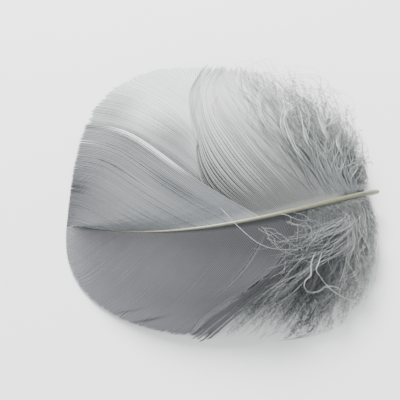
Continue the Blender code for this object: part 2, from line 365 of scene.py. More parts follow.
def web(name, lobe, count, finish, node, span=(0.0, 1.0), steps=31, ridge=0.06, seed=1,
        lift=None, part=None, ridges=None, streaks=None, shade=None, rough=0.0, fullness=1.08, ragged=0.010,
        sway=0.12, uneven=0.02):
    """A web: a fan of barbs, each a thin ridged strip carried along its own curve.

    The centre of barb i runs at share F = f_i + part(f_i, u) + sway, its
    corners at F + across * half the distance between neighbours, raised along
    the web's normal by ridge(f, u) * profile + lift(f, u).
    """
    rng = np.random.default_rng(seed)
    pitch = (span[1] - span[0]) / count
    start = span[0] + pitch * (np.arange(count) + 0.5)[:, None]
    end = np.ones((count, 1)) + rng.normal(0, ragged, (count, 1))
    run = np.sin(np.linspace(0, 1, steps) * np.pi / 2 * BARB_CROWDING) / math.sin(np.pi / 2 * BARB_CROWDING)
    u = run[None] * end
    noise = np.cumsum(rng.normal(0, 1, (count, 1)), axis=0)
    noise = noise - np.convolve(noise[:, 0], np.ones(9) / 9, mode="same")[:, None]
    centre = start + pitch * sway * noise * ease(u, 0.1, 1.0)
    centre = centre + pitch * 0.10 * np.sin(5 * u + rng.uniform(0, 6.28, (count, 1))) * u
    if part is not None:
        centre = centre + part(start, u)
    spread = np.gradient(centre, axis=0)
    half = np.clip(spread, 0.4 * pitch, 1.5 * pitch) * 0.5 * fullness
    taper = np.sqrt(np.clip((1.0 - run[None]) / BARB_END_TAPER, 0.0, 1.0)) * 0.97 + 0.03
    half = half * taper
    centre_points = lobe_point(lobe, centre, u)
    across = lobe_point(lobe, centre + NORMAL_STEP, u) - lobe_point(lobe, centre - NORMAL_STEP, u)
    along = lobe_point(lobe, centre, u + NORMAL_STEP) - lobe_point(lobe, centre, u - NORMAL_STEP)
    normal = unit(np.cross(across, along))
    normal = normal * np.where(normal[..., 2:] < 0, -1, 1)
    share = centre[..., None] + BARB_ACROSS * half[..., None]
    points = lobe_point(lobe, share, u[..., None])
    height = ridge * (ridges(start, u) if ridges is not None else np.ones_like(u)) * taper
    height = height * np.exp(rough * rng.normal(0, 1, (count, 1)))
    height = height[..., None] * BARB_RIDGE + BARB_THICKNESS * (0.4 + 0.6 * taper[..., None])
    offset = rng.normal(0, uneven, (count, 1)) * ease(u, 0, 0.3)
    if lift is not None:
        offset = offset + lift(start, u)
    points = points + normal[:, :, None] * (height + offset[..., None])[..., None]
    length = np.linalg.norm(np.diff(centre_points, axis=1), axis=-1)
    length = np.concatenate([np.zeros((count, 1)), np.cumsum(length, axis=1)], 1)
    full = np.ones_like(points[..., 0])
    spread_of_tint = 0.10 * np.ones_like(u) if streaks is None else streaks(start, u)
    # Painted light and shade: shade(f, u) is taken off each barb's random tone, dark where it is positive and
    # light where it is negative.
    painted_shade = np.zeros_like(u) if shade is None else shade(start, u)
    marks = {
        "across": centre[..., None] * full,
        "along": u[..., None] * full,
        "reach": length[..., None] * full,
        "flank": BARB_ACROSS * full,
        "tint_and_shade": (rng.uniform(-0.5, 0.5, (count, 1)) * spread_of_tint - painted_shade)[..., None] * full,
    }
    piece = grown(name, points, strip_faces(count, steps, len(BARB_ACROSS)), finish, marks)
    if node:
        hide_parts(node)
    return centre_points, u


def strands(paths, radii):
    """Four-sided strands along paths: corners at the centre plus and minus radius on two axes."""
    count, steps = paths.shape[:2]
    _, side, top = tube_frames(paths)
    r = radii[..., None]
    ring = np.stack([paths + side * r, paths + top * r, paths - side * r, paths - top * r], 2)
    along = np.linspace(0, 1, steps)[None, :, None] * np.ones((count, 1, 4))
    return ring.reshape(-1, 3), strip_faces(count, steps, 4), along.reshape(-1)


def barbules(rng, paths, each, length, thickness, start=0.0, rake=(35, 75), flat=0.5):
    """Fine spikes along strands: a base ring of three corners and a point.

    A spike leaves at the rake angle from the strand, turned about it by a
    random amount, so that its tip is base + size * (along cos + outward sin).
    """
    count, steps = paths.shape[:2]
    ahead, side, top = tube_frames(paths)
    t = np.sort(rng.uniform(start, 0.995, (count, each)), axis=1) * (steps - 1)
    low = np.minimum(t.astype(int), steps - 2)
    part = (t - low)[..., None]
    row = np.arange(count)[:, None]

    def at(values):
        return values[row, low] * (1 - part) + values[row, low + 1] * part

    spot, way, lateral, upward = at(paths), unit(at(ahead)), at(side), at(top)
    turn = rng.normal(0, flat, t.shape) + np.where(rng.random(t.shape) < 0.5, 0, np.pi)
    outward = lateral * np.cos(turn)[..., None] + upward * np.sin(turn)[..., None]
    angle = np.radians(rng.uniform(*rake, t.shape))[..., None]
    spike = unit(way * np.cos(angle) + outward * np.sin(angle) + rng.normal(0, 0.15, way.shape))
    size = length * rng.uniform(0.4, 1.15, t.shape) * (1 - 0.55 * (t / (steps - 1)) ** 3)
    e1 = unit(np.cross(spike, np.array((0.3, 0.2, 1.0))))
    e2 = np.cross(spike, e1)
    angles = np.arange(3) * 2 * np.pi / 3
    around = e1[..., None, :] * np.cos(angles)[:, None] + e2[..., None, :] * np.sin(angles)[:, None]
    tip = (spot + spike * size[..., None])[..., None, :]
    points = np.concatenate([spot[..., None, :] + around * thickness, tip], axis=-2).reshape(-1, 4, 3)
    base = np.arange(len(points))[:, None, None] * 4
    thirds = base + np.array([[2, 1, 0], [0, 1, 3], [1, 2, 3], [2, 0, 3]])[None]
    along = (t / (steps - 1))[..., None] * np.ones(4)
    return points.reshape(-1, 3), [thirds.reshape(-1, 3)], along.reshape(-1)


def joined(parts):
    """Several sets of points and faces as one."""
    points, marks = (np.concatenate([part[i] for part in parts]) for i in (0, 2))
    faces = []
    shift = 0
    for own, blocks, _ in parts:
        if signed_volume(own - own.mean(0), blocks) < 0:
            blocks = [block[:, ::-1] for block in blocks]
        faces += [block + shift for block in blocks]
        shift += len(own)
    return points, faces, marks


def downy(name, paths, finish, slot, node, seed, radius=0.06, each=80, length=1.6, thickness=0.018, **style):
    """Down: soft strands with barbules along them, joined in one mesh."""
    rng = np.random.default_rng(seed)
    paths = paths.copy()
    paths[..., 2] = np.maximum(paths[..., 2], STRAND_CLEARANCE)
    steps = paths.shape[1]
    share = np.linspace(0, 1, steps)
    taper = ((1 - 0.75 * share) * (0.3 + 0.7 * ease(share, 0, 0.15)))[None] * np.ones((len(paths), 1))
    points, faces, along = joined([
        strands(paths, radius * taper),
        barbules(rng, paths, each, length, thickness, **style),
    ])
    piece = grown(name, held_in(points), faces, finish, {"along": along})
    if node:
        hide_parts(node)
    return piece


# ---- shader maths ----
class Sock:
    """A shader socket that takes part in sums, so that a finish reads as a formula."""

    def __init__(self, finish, socket):
        self.finish = finish
        self.socket = socket

    def sum(self, operation, *others, clamp=False):
        inputs = {i: value for i, value in enumerate((self,) + others)}
        return self.finish.node("ShaderNodeMath", {"operation": operation, "use_clamp": clamp}, inputs)

    def __add__(self, other):
        return self.sum("ADD", other)

    def __sub__(self, other):
        return self.sum("SUBTRACT", other)

    def __mul__(self, other):
        return self.sum("MULTIPLY", other)

    def __truediv__(self, other):
        return self.sum("DIVIDE", other)

    def __pow__(self, other):
        return self.sum("POWER", other)

    def __rsub__(self, other):
        return self.finish.node("ShaderNodeMath", {"operation": "SUBTRACT"}, {0: other, 1: self})

    __radd__ = __add__
    __rmul__ = __mul__

    def sine(self):
        return self.sum("SINE")

    def size(self):
        return self.sum("ABSOLUTE")

    def held(self):
        """Held between 0 and 1."""
        return self.sum("ADD", 0.0, clamp=True)

    def rise(self, low, high):
        """Smoothly from 0 at low to 1 at high."""
        settings = {"interpolation_type": "SMOOTHSTEP"}
        inputs = {"Value": self, "From Min": low, "From Max": high}
        return self.finish.node("ShaderNodeMapRange", settings, inputs)


class Finish:
    """A material under construction."""

    def __init__(self, name):
        self.material = bpy.data.materials.new(name)
        self.material.use_nodes = True
        self.tree = self.material.node_tree
        self.tree.nodes.clear()

    def node(self, kind, settings=None, inputs=None, out=0):
        made = self.tree.nodes.new(kind)
        for key, value in (settings or {}).items():
            setattr(made, key, value)
        for key, value in (inputs or {}).items():
            if isinstance(value, Sock):
                self.tree.links.new(value.socket, made.inputs[key])
            else:
                made.inputs[key].default_value = value
        return Sock(self, made.outputs[out]) if len(made.outputs) else made

    def mark(self, name):
        return self.node("ShaderNodeAttribute", {"attribute_name": name}, out="Fac")

    def noise(self, scale, detail=3.0, stretch=(1, 1, 1)):
        place = self.node("ShaderNodeTexCoord", out="Object")
        place = self.node("ShaderNodeMapping", None, {"Vector": place, "Scale": stretch})
        return self.node("ShaderNodeTexNoise", None, {"Vector": place, "Scale": scale, "Detail": detail})

    def blend(self, factor, low, high):
        """Colour low where the factor is 0 and high where it is 1."""
        settings = {"data_type": "RGBA"}
        ends = [end if isinstance(end, Sock) else (*end, 1) for end in (low, high)]
        return self.node("ShaderNodeMix", settings, {0: factor, 6: ends[0], 7: ends[1]}, out=2)

    def bump(self, height, strength, distance):
        inputs = {"Height": height, "Strength": strength, "Distance": distance}
        return self.node("ShaderNodeBump", None, inputs)

    def close(self, shader):
        self.node("ShaderNodeOutputMaterial", None, {"Surface": shader})
        return self.material


def web_finish(name, deep, pale, bright, glow, along_gain=0.0, across_gain=0.0, level=0.0, bend=0.0,
               through=0.2, edge_at=None, edge_glint_colour=(0.8, 0.82, 0.82), edge_width=0.02, edge_ends=1.2):
    """Silky web: cloudy grey that lightens along and across the web, with lighter barb ridges.

    tone = level + along * along_gain + across * across_gain + clouds + the
    barb's random tone less its painted shade; the colour runs from deep to pale
    as tone rises. The level and the gains paint each web's light and shade, light
    where the dome faces the light and dark where it turns away; barb flanks are
    darkened as painted shade and a band at edge_at is a painted glint. Barbules
    hatch each barb as a sine of the length along it.
    """
    f = Finish(name)
    reach, flank, tint_and_shade = f.mark("reach"), f.mark("flank"), f.mark("tint_and_shade")
    along, across = f.mark("along"), f.mark("across")
    cloud = f.noise(55.0, 4.0)
    mottle = f.noise(420.0, 3.0)
    tone = cloud * 0.30 + mottle * 0.12 + tint_and_shade + (level - 0.21)
    tone = tone + along * along_gain + across * (across_gain + bend * across * across)
    base = f.blend(tone.held(), deep, pale)
    spine = 1 - (flank.size() * 2.2).held()
    base = f.blend((spine * 0.30).held(), base, bright)
    hatch = ((reach * 13.0) + flank.size() * 3.0).sine() * 0.5 + 0.5
    base = f.blend(hatch * 0.10, base, deep)
    # Painted shade: the outer flanks of each barb are darkened where neighbouring barbs meet.
    edge = (flank.size() - 0.72) * 2.0
    base = f.blend(edge.held() * 0.30, base, [c * 0.6 for c in deep])
    # Painted glint: a light band along the web's edge at edge_at, standing in for light caught by the raised
    # edge.
    if edge_at is not None:
        away = (across - edge_at).size() / edge_width
        painted_glint = (1 - away).held() * along.rise(0.22, 0.4) * (1 - along.rise(edge_ends - 0.25, edge_ends))
        base = f.blend(painted_glint, base, edge_glint_colour)
    normal = f.bump(hatch * 0.5 + mottle * 0.5, 0.35, 0.00005)
    cover = f.node("ShaderNodeBsdfPrincipled", None, {
        "Base Color": base,
        "Roughness": (mottle * 0.2 + 0.5),
        "Normal": normal,
        "Specular IOR Level": 0.35,
        "Sheen Weight": 0.2,
        "Sheen Roughness": 0.4,
    })
    light = f.node("ShaderNodeBsdfTranslucent", None, {"Color": (*glow, 1)})
    return f.close(f.node("ShaderNodeMixShader", None, {0: through, 1: cover, 2: light}))


def down_finish(name, deep, pale, glow, through=0.3, root=None, painted_light_base_side=None, tip=None):
    """Down: matt, cloudy between two greys, with light passing through the strands.

    With root it turns to that colour near the root, painted light and shade among
    the roots: dark against the pale down, light against the dark near down. With
    tip it turns to that colour towards the strand tips, as painted light. With the
    base-side colour it turns to that colour from 16 mm to 30 mm along the feather,
    towards its bare base, as painted light on strands that the feather shades.
    """
    f = Finish(name)
    tone = f.noise(140.0, 3.0) * 0.8 + f.noise(900.0, 2.0) * 0.4
    base = f.blend(tone.rise(0.35, 0.85), deep, pale)
    # Painted light and shade at the root.
    if root is not None:
        base = f.blend(f.mark("along").rise(0.05, 0.45), root, base)
    # Painted light towards the strand tips.
    if tip is not None:
        base = f.blend(f.mark("along").rise(0.72, 1.0), base, tip)
    # Painted light on the base side, where the feather shades the strands.
    if painted_light_base_side is not None:
        place = f.node("ShaderNodeTexCoord", out="Object")
        x = f.node("ShaderNodeSeparateXYZ", None, {0: place})
        base = f.blend(x.rise(0.016, 0.030), base, painted_light_base_side)
    cover = f.node("ShaderNodeBsdfPrincipled", None, {
        "Base Color": base,
        "Roughness": 0.75,
        "Specular IOR Level": 0.25,
    })
    light = f.node("ShaderNodeBsdfTranslucent", None, {"Color": (*glow, 1)})
    return f.close(f.node("ShaderNodeMixShader", None, {0: through, 1: cover, 2: light}))


def quill_finish():
    """Cream horn: clearer at the bare base, streaked along its length, greyer towards the hair-thin tip."""
    f = Finish("cream_quill_horn")
    share, round_ = f.mark("along"), f.mark("across")
    streak = f.node("ShaderNodeTexNoise", None, {
        "Vector": f.node("ShaderNodeCombineXYZ", None, {0: share * 6.0, 1: round_ * 14.0, 2: 0.0}),
        "Scale": 3.0, "Detail": 4.0,
    })
    cream = f.blend(streak.rise(0.3, 0.7), (0.11, 0.11, 0.07), (0.19, 0.19, 0.13))
    base = f.blend(share.rise(0.0, 0.10), (0.22, 0.215, 0.16), cream)
    base = f.blend(share.rise(0.55, 1.0), base, (0.20, 0.20, 0.15))
    normal = f.bump(streak, 0.3, 0.00004)
    cover = f.node("ShaderNodeBsdfPrincipled", None, {
        "Base Color": base,
        "Roughness": streak * 0.15 + 0.28,
        "Normal": normal,
        "Subsurface Weight": 0.2,
        "Subsurface Radius": (0.0006, 0.0005, 0.0003),
        "Subsurface Scale": 1.0,
        "Coat Weight": 0.15,
        "Coat Roughness": 0.3,
    })
    return f.close(cover)


# ---- pieces ----
def quill_mesh(rings=150, sides=20):
    """The quill: a rounded-square ring of the given radius carried along the cubic.

    Corner at angle t has radius r / (|cos t|^n + |sin t|^n)^(1/n), with n
    rising from 2 at the round base to 2.6 along the shaft, and a shallow
    groove beneath. The foot is closed by a small hollow.
    """
    s = np.concatenate([np.linspace(0, 0.03, 10)[:-1], np.linspace(0.03, 1, rings)])
    centre, ahead, radius = quill_point(s), quill_direction(s), quill_radius(s)
    side = unit(np.cross(ahead, np.array((0, 0, 1.0))))
    top = np.cross(side, ahead)
    t = np.linspace(0, 2 * np.pi, sides, endpoint=False)
    n = 2 + 0.6 * ease(s, 0.05, 0.3)[:, None]
    reach = (np.abs(np.cos(t)) ** n + np.abs(np.sin(t)) ** n) ** (-1 / n)
    reach = reach * (1 - 0.14 * ease(s, 0.08, 0.2)[:, None] * hump(np.cos(t + np.pi / 2), -1, 0.25))
    reach = reach * radius[:, None]
    ring = centre[:, None] + side[:, None] * (reach * np.cos(t))[..., None]
    ring = ring + top[:, None] * (reach * np.sin(t))[..., None]
    inward = []
    for depth, share in ((0.0, 0.62), (0.25, 0.5), (0.9, 0.36)):
        inward.insert(0, centre[0] + ahead[0] * depth + (ring[0] - centre[0]) * share)
    points = np.concatenate([np.array(inward), ring])
    marks_s = np.concatenate([np.zeros(len(inward)), s])
    marks = {
        "along": marks_s[:, None] * np.ones(sides),
        "across": np.ones(len(points))[:, None] * np.abs(np.linspace(-1, 1, sides, endpoint=False)),
    }
    return points, marks


def add_quill():
    points, marks = quill_mesh()
    rings, sides = points.shape[:2]
    faces = strip_faces(1, rings, sides)
    piece = grown("quill_shaft", points, faces, quill_finish(), marks)
    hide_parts("quill")


def frame_place():
    """Offset from the tables' zero to the frame, from the CAD quill's tip side and base side."""
    low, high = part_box("quill")
    points = quill_mesh()[0].reshape(-1, 3)
    x = low.x / MM - points[:, 0].min()
    y = high.y / MM - points[:, 1].max()
    return np.array((x, y, 0.0))


PLACE = np.zeros(3)
PLACE = frame_place()


def gathered(start, u, centres, strength, low=0.25, high=1.0):
    """Barbs drawn towards the nearest of several centres, so that they part into locks."""
    centres = np.asarray(centres)
    nearest = centres[np.abs(start[..., None] - centres).argmin(-1)]
    return (nearest - start) * strength * ease(u, low, high)


def opened(start, u, at, width, low, high, spread=0.05):
    """A slit: barbs on each side of share at move away from it, most at the slit."""
    push = np.where(start < at, -1, 1) * np.exp(-np.abs(start - at) / spread)
    return push * width * ease(u, low, high)


def far_tip_web():
    # The along gain paints the tip end in shade; the band at across 0 is the painted glint on the overlap
    # edge.
    finish = web_finish("far_tip_grey", (0.07, 0.073, 0.085), (0.27, 0.285, 0.30), (0.36, 0.375, 0.385),
                        (0.18, 0.19, 0.21), along_gain=-0.62, across_gain=0.06, level=0.74,
                        edge_at=0.0, edge_glint_colour=(0.92, 0.94, 0.94), edge_width=0.030, edge_ends=0.95)

    def part(f, u):
        slit = opened(f, u, 0.265, 0.0045, 0.25, 0.5) * (1 - ease(u, 0.65, 0.9))
        notch = opened(f, u, 0.575, 0.004, 0.85, 1.0, 0.03)
        locks = gathered(f, u, (0.11, 0.135, 0.16, 0.185), 0.25, 0.1, 0.25) * hump(f, 0.145, 0.05)
        return slit + notch + locks

    def ridges(f, u):
        bunch = hump(f, 0.145, 0.05) * hump(u, 0.27, 0.13) * 2.2
        rim = hump(f, 0.56, 0.05) * hump(u, 0.92, 0.12) * 1.5
        return 0.8 + 0.3 * (1 - ease(u, 0.1, 0.5)) + bunch + rim

    def streaks(f, u):
        return 0.11 + 0.5 * hump(f, 0.145, 0.06) * hump(u, 0.27, 0.15)

    def shade(f, u):
        # Painted shade: a dark line along the slit and a dark half towards the point; painted light: a light
        # band by the rim on the overlap side.
        slit = 0.55 * hump(f, 0.268, 0.008) * ease(u, 0.35, 0.6) * (1 - ease(u, 0.75, 0.85))
        dark = 0.34 * ease(f, 0.3, 0.7) * ease(u, 0.1, 0.5)
        bright = 0.60 * hump(f, 0.04, 0.20) * ease(u, 0.6, 0.95)
        return slit + dark - bright

    def lift(f, u):
        edge = 0.65 * np.exp(-np.maximum(f, 0) / 0.030) * ease(u, 0.24, 0.42) * (1 - 0.6 * ease(u, 0.7, 1.0))
        return edge + 0.22 * np.exp(-np.maximum(f, 0) / 0.08) * (1 - ease(u, 0.25, 0.4)) * ease(u, 0.0, 0.03)

    web("far_tip_web", "far_tip", 92, finish, "far_vane_tip", span=(-0.01, 1.006), rough=0.18,
        seed=11, part=part, ridges=ridges, streaks=streaks, shade=shade, lift=lift, ragged=0.002)


def far_middle_web():
    # Pale greys and gains that paint the light on the far web's top, shaded towards the overlap.
    finish = web_finish("far_middle_grey", (0.14, 0.15, 0.16), (0.74, 0.77, 0.77), (0.84, 0.86, 0.86),
                        (0.52, 0.54, 0.54), along_gain=0.70, across_gain=-0.25, bend=-0.65, level=0.72)

    def part(f, u):
        return gathered(f, u, np.arange(0.50, 0.85, 0.04), 0.2, 0.45, 0.6) * hump(f, 0.66, 0.16)

    def ridges(f, u):
        return 1.0 + hump(f, 0.68, 0.16) * hump(u, 0.56, 0.10) * 1.6

    def streaks(f, u):
        return 0.12 + 0.25 * hump(f, 0.66, 0.2) * hump(u, 0.56, 0.14)

    def shade(f, u):
        # Painted shade: a pocket across the web, strongest by the rim; painted light: along the rim on the
        # crease side and in a band by the overlap.
        pocket = 0.35 * hump(f, 0.70, 0.20) * (hump(u, 0.47, 0.12) + 1.7 * ease(u, 0.72, 0.9))
        rim = 0.30 * (1 - ease(f, 0.2, 0.5)) * ease(u, 0.7, 1.0)
        band = 0.15 * ease(f, 0.7, 0.9) * hump(u, 0.68, 0.12)
        return pocket - (rim + band)

    def lift(f, u):
        return -0.45 * ease(f, 0.90, 1.03) - 0.45 * (1 - ease(u, 0.35, 0.62)) - 0.35 * (1 - ease(f, 0.0, 0.3))

    web("far_middle_web", "far_middle", 76, finish, "far_vane_middle", span=(0.0, 1.03),
        seed=12, part=part, ridges=ridges, streaks=streaks, shade=shade, lift=lift, ragged=0.006, sway=0.05,
        steps=37)


def far_base_web():
    # The along gain paints shade towards the quill; the band at across 1 is the painted glint on the crease.
    finish = web_finish("far_base_grey", (0.06, 0.065, 0.062), (0.68, 0.72, 0.70), (0.72, 0.75, 0.73),
                        (0.5, 0.53, 0.52), along_gain=1.55, across_gain=-0.02, level=-0.19,
                        edge_at=1.0, edge_glint_colour=(0.62, 0.65, 0.64))

    def part(f, u):
        locks = gathered(f, u, np.arange(0.40, 1.0, 0.024), 0.30, 0.08, 0.3) * ease(f, 0.35, 0.8)
        loose = gathered(f, u, np.arange(-0.02, 0.44, 0.06), 0.25, 0.4, 1.0) * (1 - ease(f, 0.25, 0.5))
        return locks + loose

    def ridges(f, u):
        quiet = ease(u, 0.05, 0.3 + 0.2 * (1 - f))
        return 0.7 + 1.1 * quiet + ease(f, 0.75, 0.95) * (1 - ease(u, 0.45, 0.8)) * ease(u, 0.03, 0.2) * 2.4

    def streaks(f, u):
        return 0.16 + 0.14 * ease(u, 0.1, 0.4) + 0.40 * hump(f, 0.95, 0.15) * hump(u, 0.33, 0.2)

    def lift(f, u):
        edge = 0.45 * ease(f, 0.85, 1.0) * ease(u, 0.2, 0.4) * (1 - 0.6 * ease(u, 0.5, 0.9))
        loose = 0.3 * np.sin(f * 90) * (1 - ease(f, 0.1, 0.45)) * ease(u, 0.4, 1.0)
        return edge + loose - 0.35 * ease(f, 0.93, 1.0) * (1 - ease(u, 0.2, 0.35))

    def shade(f, u):
        # Painted light: lighter by the down side near the quill, easing the shadow that the strands cast
        # there.
        return -0.14 * (1 - ease(f, 0.0, 0.3)) * (1 - ease(u, 0.4, 0.7))

    web("far_base_web", "far_base", 88, finish, "far_vane_base", span=(0.0, 1.01), rough=0.35,
        seed=13, part=part, ridges=ridges, streaks=streaks, shade=shade, lift=lift, ragged=0.02, steps=37)


def near_web():
    # Dark greys that paint the near web in shade, as it turns from the light; the along gain paints it
    # lighter towards the rim.
    finish = web_finish("near_grey", (0.04, 0.04, 0.045), (0.24, 0.24, 0.26), (0.30, 0.30, 0.32),
                        (0.16, 0.16, 0.18), along_gain=1.06, across_gain=0.04, level=-0.14)

    def part(f, u):
        strip = opened(f, u, 0.13, 0.004, 0.05, 0.2, 0.03) * (1 - ease(u, 0.5, 0.8))
        rim = opened(f, u, 0.42, 0.004, 0.85, 0.98, 0.03) + opened(f, u, 0.31, 0.005, 0.85, 0.98, 0.03)
        wedge = 0.05 * np.exp(-np.abs(f - 0.02) / 0.06) * ease(u, 0.38, 0.72) * (1 - ease(u, 0.82, 1.0))
        return strip + rim + wedge

    def shade(f, u):
        # Painted shade: dark lines in the two opened rim slits, shadow towards the quill on the split side
        # and a dark tip end; painted light: lighter by the rim.
        upper = hump(u - 1 + 2.0 * (0.46 - f), 0.0, 0.016) * hump(f, 0.42, 0.04)
        lower = hump(u - 1 + 1.3 * (0.35 - f), 0.0, 0.018) * hump(f, 0.30, 0.05)
        shadow = (1 - ease(f, 0.1, 0.5)) * (1 - ease(u, 0.4, 0.8))
        return 0.75 * upper + lower + 0.12 * shadow - 0.08 * ease(u, 0.7, 0.95) + 0.10 * ease(f, 0.6, 0.9)

    def ridges(f, u):
        return 0.30 + 0.8 * (1 - ease(f, 0.1, 0.4)) * ease(u, 0.5, 0.95)

    def streaks(f, u):
        return 0.05 + 0.12 * (1 - ease(f, 0.1, 0.5)) * ease(u, 0.5, 0.95)

    web("near_web", "near", 120, finish, "near_vane", span=(0.0, 1.006),
        seed=14, part=part, ridges=ridges, streaks=streaks, shade=shade, sway=0.03, ragged=0.004,
        uneven=0.007)


def near_loose_webs():
    # Dark greys that paint the split strip in shade, like the near web.
    finish = web_finish("near_strand_grey", (0.045, 0.045, 0.05), (0.24, 0.24, 0.26), (0.34, 0.34, 0.36),
                        (0.16, 0.16, 0.18), along_gain=0.55, across_gain=0.0, level=0.15)

    def strip_part(f, u):
        return opened(f, u, 0.90, 0.01, 0.3, 0.7, 0.03) + opened(f, u, 0.80, 0.02, 0.4, 0.9, 0.03)

    def strip_ridges(f, u):
        return 1.2 + 1.4 * u

    def strip_streaks(f, u):
        return 0.3 + 0.5 * u

    web("near_split_strip", "near_loose", 26, finish, "near_loose_barbs", span=(0.76, 1.0),
        seed=16, part=strip_part, ridges=strip_ridges, streaks=strip_streaks, ragged=0.03, uneven=0.06)


def lobe_paths(lobe, count, steps, seed, span=(0.0, 1.0), ends=(0.8, 1.02), sway=(1.2, 1.2, 0.8), waves=4,
               curls=0.0, lift=0.0):
    """Strands that follow a lobe and stray from it by smooth random sway and by curls.

    A curl is a circle that turns as it goes along the strand, its radius
    growing from the root.
    """
    rng = np.random.default_rng(seed)
    f = rng.uniform(span[0], span[1], (count, 1))
    end = rng.uniform(ends[0], ends[1], (count, 1))
    u = np.linspace(0, 1, steps)[None] * end
    paths = lobe_point(lobe, f, u)
    share = np.linspace(0, 1, steps)[None] * np.ones((count, 1))
    paths = paths + wander(rng, count, share, waves, 0.6) * np.array(sway)
    if curls:
        turn = 2 * np.pi * rng.uniform(0.8, 2.0, (count, 1)) * share ** 1.3 + rng.uniform(0, 6.28, (count, 1))
        ahead, side, _ = tube_frames(paths)
        radius = curls * rng.uniform(0.4, 1.2, (count, 1)) * ease(share, 0.15, 0.7)
        circle = side * (np.cos(turn) * radius)[..., None] + ahead * (np.sin(turn) * radius)[..., None]
        paths = paths + circle
    paths[..., 2] += lift * ease(share, 0.0, 0.3)
    return paths


def threaded(points, share):
    """A smooth strand through its points at shares of its length: a cubic between each pair."""
    p = np.array(points, float)
    t = share * (len(p) - 1)
    slope = np.gradient(p, axis=0)
    low = np.clip(t.astype(int), 0, len(p) - 2)
    x = (t - low)[..., None]
    h00, h10 = 2 * x ** 3 - 3 * x ** 2 + 1, x ** 3 - 2 * x ** 2 + x
    h01, h11 = -2 * x ** 3 + 3 * x ** 2, x ** 3 - x ** 2
    return h00 * p[low] + h10 * slope[low] + h01 * p[low + 1] + h11 * slope[low + 1]


def sheaf(points, count, spread, seed, steps=40, cut=0.25):
    """A loose sheaf of strands round one guide, each with its own stretch of it and its own sway."""
    rng = np.random.default_rng(seed)
    share = np.linspace(0, 1, steps)[None]
    first = rng.uniform(0, cut, (count, 1))
    last = rng.uniform(1 - cut, 1, (count, 1))
    guide = threaded(points, first + (last - first) * share)
    share = share * np.ones((count, 1))
    away = rng.normal(0, 1, (count, 1, 3)) * np.array(spread) * (0.75 + 0.4 * share[..., None])
    return guide + away + wander(rng, count, share, 4) * np.array(spread) * 1.3


# Strands that lie over the down, as points that they pass through
CURLED = (
    ((26.6, -15.8, 11.6), (25.6, -18.7, 11.1), (25.0, -20.2, 10.7), (26.0, -21.3, 9.5), (27.4, -22.5, 8.0),
     (28.9, -23.9, 7.5), (31.2, -24.9, 6.3), (33.6, -25.4, 5.9)),
    ((25.2, -16.0, 12.0), (24.0, -18.7, 11.6), (23.8, -21.3, 10.5), (22.6, -22.4, 10.3), (22.4, -23.6, 9.4),
     (23.5, -24.3, 8.3), (25.6, -23.9, 7.9), (27.2, -22.9, 8.2), (29.3, -23.2, 8.4), (30.8, -24.0, 7.9)),
)
FAR_CURL_RAISE = (0.0, -0.8, 1.4)
FAR_CURLS = (
    ((22.9, 6.3, 13.4), (21.6, 8.8, 13.7), (20.4, 12.1, 13.8), (19.7, 16.0, 13.5), (19.9, 19.6, 12.9),
     (21.6, 22.4, 11.8), (23.6, 25.9, 9.9), (25.1, 30.4, 7.1), (26.0, 33.9, 5.4)),
    ((21.1, 8.6, 14.0), (19.4, 11.8, 14.2), (18.4, 15.0, 14.0), (18.9, 19.0, 13.2), (20.8, 22.1, 12.2),
     (23.3, 24.8, 10.5), (24.7, 23.7, 10.3), (25.1, 20.2, 11.2), (25.0, 16.8, 11.9), (24.1, 14.3, 12.6)),
    ((20.7, 17.5, 13.3), (19.7, 20.1, 13.0), (19.4, 23.6, 12.1), (18.9, 26.7, 11.2), (19.4, 29.8, 9.9),
     (21.2, 32.9, 7.5)),
    ((25.9, 9.0, 12.6), (24.4, 12.1, 12.9), (24.0, 15.7, 12.7), (23.8, 19.6, 12.0), (23.6, 23.2, 11.1),
     (25.3, 27.2, 8.9)),
    ((31.8, 11.6, 9.4), (30.1, 14.7, 10.0), (29.1, 17.6, 10.0), (28.4, 20.8, 9.5), (27.9, 25.3, 8.3),
     (27.0, 28.5, 7.2), (28.0, 32.6, 5.0), (30.0, 34.1, 4.3), (32.0, 33.4, 3.9)),
    ((28.8, 17.4, 10.2), (30.8, 18.9, 8.9), (32.9, 22.8, 5.8), (35.5, 26.0, 3.4), (38.1, 26.7, 3.3),
     (39.7, 28.0, 3.3), (42.1, 29.5, 3.3)),
    ((29.1, 17.4, 10.2), (30.7, 22.6, 7.9), (31.1, 27.5, 5.3), (30.1, 30.2, 4.9), (28.4, 31.1, 5.4)),
    ((15.8, 14.2, 14.8), (14.5, 17.3, 14.5), (14.2, 20.7, 13.8), (14.6, 24.4, 12.7), (16.0, 27.0, 11.6),
     (17.4, 26.4, 11.6), (17.7, 23.7, 12.5)),
    ((17.2, 10.4, 14.7), (15.8, 13.8, 14.6), (14.3, 17.5, 14.2), (13.5, 21.6, 13.3), (13.5, 25.3, 12.3),
     (14.9, 28.8, 10.9), (17.0, 30.5, 9.9)),
    ((34.2, 9.6, 8.3), (32.6, 11.9, 9.0), (32.4, 15.0, 8.7), (34.2, 19.8, 5.9), (33.9, 23.6, 4.6),
     (35.3, 27.0, 3.4)),
)
STRAY = ((4.2, -6.9, 15.0), (5.6, -9.2, 16.2), (7.5, -11.2, 15.4), (11.5, -14.3, 13.6), (14.8, -15.8, 12.8),
         (18.4, -16.0, 12.3), (21.2, -15.7, 11.8))
